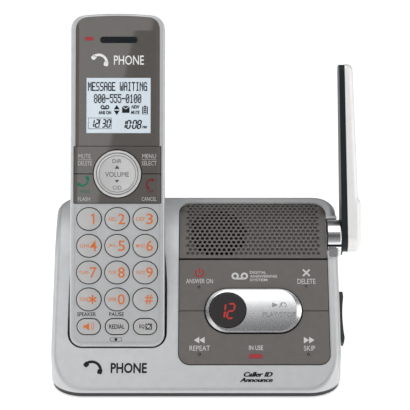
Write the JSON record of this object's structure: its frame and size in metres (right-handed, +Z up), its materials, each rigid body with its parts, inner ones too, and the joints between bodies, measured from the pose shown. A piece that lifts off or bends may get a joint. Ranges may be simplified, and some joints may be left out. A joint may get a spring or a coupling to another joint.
{
  "type": "cordless phone with base",
  "caption": "Cordless phone leaning in a desk base with loudspeaker, message display, rocker key plates and a swinging side antenna.",
  "frame": {"origin": "on the desk under the middle of the base's footprint, in the plane of the feet", "axes": "+X to the right as the user sees it, +Y towards the back, +Z up"},
  "size_m": [0.1591, 0.1081, 0.1748],
  "materials": {
    "silver_paint": "satin silver paint on moulded plastic",
    "taupe_plastic": "fine satin texture",
    "black_plastic": "satin",
    "dark_grey_plastic": "satin",
    "smoke_lens": "polished tinted",
    "black_lens": "polished tinted",
    "chrome_plate": "bright plated plastic",
    "key_silver": "satin silver paint",
    "red_lens": "polished translucent",
    "lcd_glass": "polished",
    "rubber_black": "matt",
    "rubber_grey": "matt",
    "circuit_green": "solder resist",
    "steel": "plated",
    "nickel": "nickel plated",
    "speaker_paper": "paper cone",
    "battery_wrap": "shrink wrap",
    "antenna_silver": "satin silver paint on moulded plastic"
  },
  "bodies": {
    "base": {"base_top_shell": "silver_paint", "base_bottom_shell": "black_plastic", "rubber_feet": "rubber_black", "base_screws": "steel", "speaker_grille": "taupe_plastic", "base_loudspeaker": "speaker_paper", "message_window": "black_lens", "message_display": "black_plastic", "base_key_mat": "rubber_grey", "base_circuit_board": "circuit_green", "line_jack": "black_plastic", "power_jack": "black_plastic", "antenna_hinge_pin": "steel", "knuckle_tab": "silver_paint"},
    "upper_plate": {"upper_key_plate": "taupe_plastic"},
    "lower_plate": {"lower_key_plate": "taupe_plastic", "in_use_lens": "red_lens"},
    "play_button": {"play_stop_button": "chrome_plate"},
    "volume_key": {"volume_rocker": "rubber_black"},
    "contact_left": {"charge_contact_left": "nickel"},
    "contact_right": {"charge_contact_right": "nickel"},
    "antenna": {"antenna_inner_shell": "dark_grey_plastic", "antenna_outer_shell": "antenna_silver", "antenna_element": "nickel", "knuckle_upper_shell": "chrome_plate", "knuckle_lower_shell": "chrome_plate"},
    "handset": {"handset_front_frame": "silver_paint", "handset_back_shell": "silver_paint", "battery_pack": "battery_wrap", "display_lens": "smoke_lens", "lcd_module": "lcd_glass", "message_led": "red_lens", "earpiece_grille": "dark_grey_plastic", "earpiece_receiver": "black_plastic", "microphone": "nickel", "handset_loudspeaker": "speaker_paper", "handset_key_mat": "rubber_grey", "handset_circuit_board": "circuit_green", "charge_pads": "nickel", "handset_screws": "steel"},
    "cover": {"battery_cover": "silver_paint"},
    "nav_key": {"navigation_key": "key_silver"},
    "upper_soft": {"upper_soft_keys": "smoke_lens"},
    "lower_soft": {"lower_soft_keys": "smoke_lens"},
    "key_1": {"dial_key_1": "key_silver"},
    "key_2": {"dial_key_2": "key_silver"},
    "key_3": {"dial_key_3": "key_silver"},
    "key_4": {"dial_key_4": "key_silver"},
    "key_5": {"dial_key_5": "key_silver"},
    "key_6": {"dial_key_6": "key_silver"},
    "key_7": {"dial_key_7": "key_silver"},
    "key_8": {"dial_key_8": "key_silver"},
    "key_9": {"dial_key_9": "key_silver"},
    "key_star": {"dial_key_star": "key_silver"},
    "key_0": {"dial_key_0": "key_silver"},
    "key_hash": {"dial_key_hash": "key_silver"},
    "speaker_key_cap": {"speaker_key": "key_silver"},
    "redial_key_cap": {"redial_key": "key_silver"},
    "eq_key_cap": {"eq_key": "key_silver"}
  },
  "joints": [
    {"name": "handset_lift", "type": "slide", "parent": "base", "child": "handset", "axis": [0, 0.4226, 0.9063], "range_m": [0, 0.09]},
    {"name": "antenna_swing", "type": "hinge", "parent": "base", "child": "antenna", "pos_m": [0.0717, 0.014, 0.0615], "axis": [1, 0, 0], "range_deg": [-60, 22]},
    {"name": "upper_plate_rock", "type": "hinge", "parent": "base", "child": "upper_plate", "pos_m": [0.0294, -0.00846, 0.04464], "axis": [0, 0.6769, 0.7361], "range_deg": [-0.7, 0.7], "stiffness_Nm_per_rad": 0.3},
    {"name": "lower_plate_rock", "type": "hinge", "parent": "base", "child": "lower_plate", "pos_m": [0.0294, -0.02741, 0.02403], "axis": [0, 0.6769, 0.7361], "range_deg": [-0.7, 0.7], "stiffness_Nm_per_rad": 0.3},
    {"name": "play_button_press", "type": "slide", "parent": "base", "child": "play_button", "axis": [0, 0.7361, -0.6769], "range_m": [0, 0.0008], "stiffness_N_per_m": 400},
    {"name": "volume_key_rock", "type": "hinge", "parent": "base", "child": "volume_key", "pos_m": [0.0715, -0.01394, 0.02849], "axis": [0, -0.7361, 0.6769], "range_deg": [-2.5, 2.5], "stiffness_Nm_per_rad": 0.1},
    {"name": "contact_left_press", "type": "slide", "parent": "base", "child": "contact_left", "axis": [0, -0.4226, -0.9063], "range_m": [0, 0.0008], "stiffness_N_per_m": 400},
    {"name": "contact_right_press", "type": "slide", "parent": "base", "child": "contact_right", "axis": [0, -0.4226, -0.9063], "range_m": [0, 0.0008], "stiffness_N_per_m": 400},
    {"name": "battery_cover_slide", "type": "slide", "parent": "handset", "child": "cover", "axis": [0, -0.4226, -0.9063], "range_m": [0, 0.006]},
    {"name": "navigation_key_rock", "type": "hinge", "parent": "handset", "child": "nav_key", "pos_m": [-0.04, 0.00878, 0.09913], "axis": [1, 0, 0], "range_deg": [-2, 2], "stiffness_Nm_per_rad": 0.2},
    {"name": "upper_soft_keys_rock", "type": "hinge", "parent": "handset", "child": "upper_soft", "pos_m": [-0.04, 0.00979, 0.10672], "axis": [0, 0.4226, 0.9063], "range_deg": [-1, 1], "stiffness_Nm_per_rad": 0.2},
    {"name": "lower_soft_keys_rock", "type": "hinge", "parent": "handset", "child": "lower_soft", "pos_m": [-0.04, 0.00345, 0.09312], "axis": [0, 0.4226, 0.9063], "range_deg": [-1, 1], "stiffness_Nm_per_rad": 0.2},
    {"name": "dial_key_1_press", "type": "slide", "parent": "handset", "child": "key_1", "axis": [0, 0.9063, -0.4226], "range_m": [0, 0.0008], "stiffness_N_per_m": 400},
    {"name": "dial_key_2_press", "type": "slide", "parent": "handset", "child": "key_2", "axis": [0, 0.9063, -0.4226], "range_m": [0, 0.0008], "stiffness_N_per_m": 400},
    {"name": "dial_key_3_press", "type": "slide", "parent": "handset", "child": "key_3", "axis": [0, 0.9063, -0.4226], "range_m": [0, 0.0008], "stiffness_N_per_m": 400},
    {"name": "dial_key_4_press", "type": "slide", "parent": "handset", "child": "key_4", "axis": [0, 0.9063, -0.4226], "range_m": [0, 0.0008], "stiffness_N_per_m": 400},
    {"name": "dial_key_5_press", "type": "slide", "parent": "handset", "child": "key_5", "axis": [0, 0.9063, -0.4226], "range_m": [0, 0.0008], "stiffness_N_per_m": 400},
    {"name": "dial_key_6_press", "type": "slide", "parent": "handset", "child": "key_6", "axis": [0, 0.9063, -0.4226], "range_m": [0, 0.0008], "stiffness_N_per_m": 400},
    {"name": "dial_key_7_press", "type": "slide", "parent": "handset", "child": "key_7", "axis": [0, 0.9063, -0.4226], "range_m": [0, 0.0008], "stiffness_N_per_m": 400},
    {"name": "dial_key_8_press", "type": "slide", "parent": "handset", "child": "key_8", "axis": [0, 0.9063, -0.4226], "range_m": [0, 0.0008], "stiffness_N_per_m": 400},
    {"name": "dial_key_9_press", "type": "slide", "parent": "handset", "child": "key_9", "axis": [0, 0.9063, -0.4226], "range_m": [0, 0.0008], "stiffness_N_per_m": 400},
    {"name": "dial_key_star_press", "type": "slide", "parent": "handset", "child": "key_star", "axis": [0, 0.9063, -0.4226], "range_m": [0, 0.0008], "stiffness_N_per_m": 400},
    {"name": "dial_key_0_press", "type": "slide", "parent": "handset", "child": "key_0", "axis": [0, 0.9063, -0.4226], "range_m": [0, 0.0008], "stiffness_N_per_m": 400},
    {"name": "dial_key_hash_press", "type": "slide", "parent": "handset", "child": "key_hash", "axis": [0, 0.9063, -0.4226], "range_m": [0, 0.0008], "stiffness_N_per_m": 400},
    {"name": "speaker_key_press", "type": "slide", "parent": "handset", "child": "speaker_key_cap", "axis": [0, 0.9063, -0.4226], "range_m": [0, 0.0008], "stiffness_N_per_m": 400},
    {"name": "redial_key_press", "type": "slide", "parent": "handset", "child": "redial_key_cap", "axis": [0, 0.9063, -0.4226], "range_m": [0, 0.0008], "stiffness_N_per_m": 400},
    {"name": "eq_key_press", "type": "slide", "parent": "handset", "child": "eq_key_cap", "axis": [0, 0.9063, -0.4226], "range_m": [0, 0.0008], "stiffness_N_per_m": 400}
  ]
}
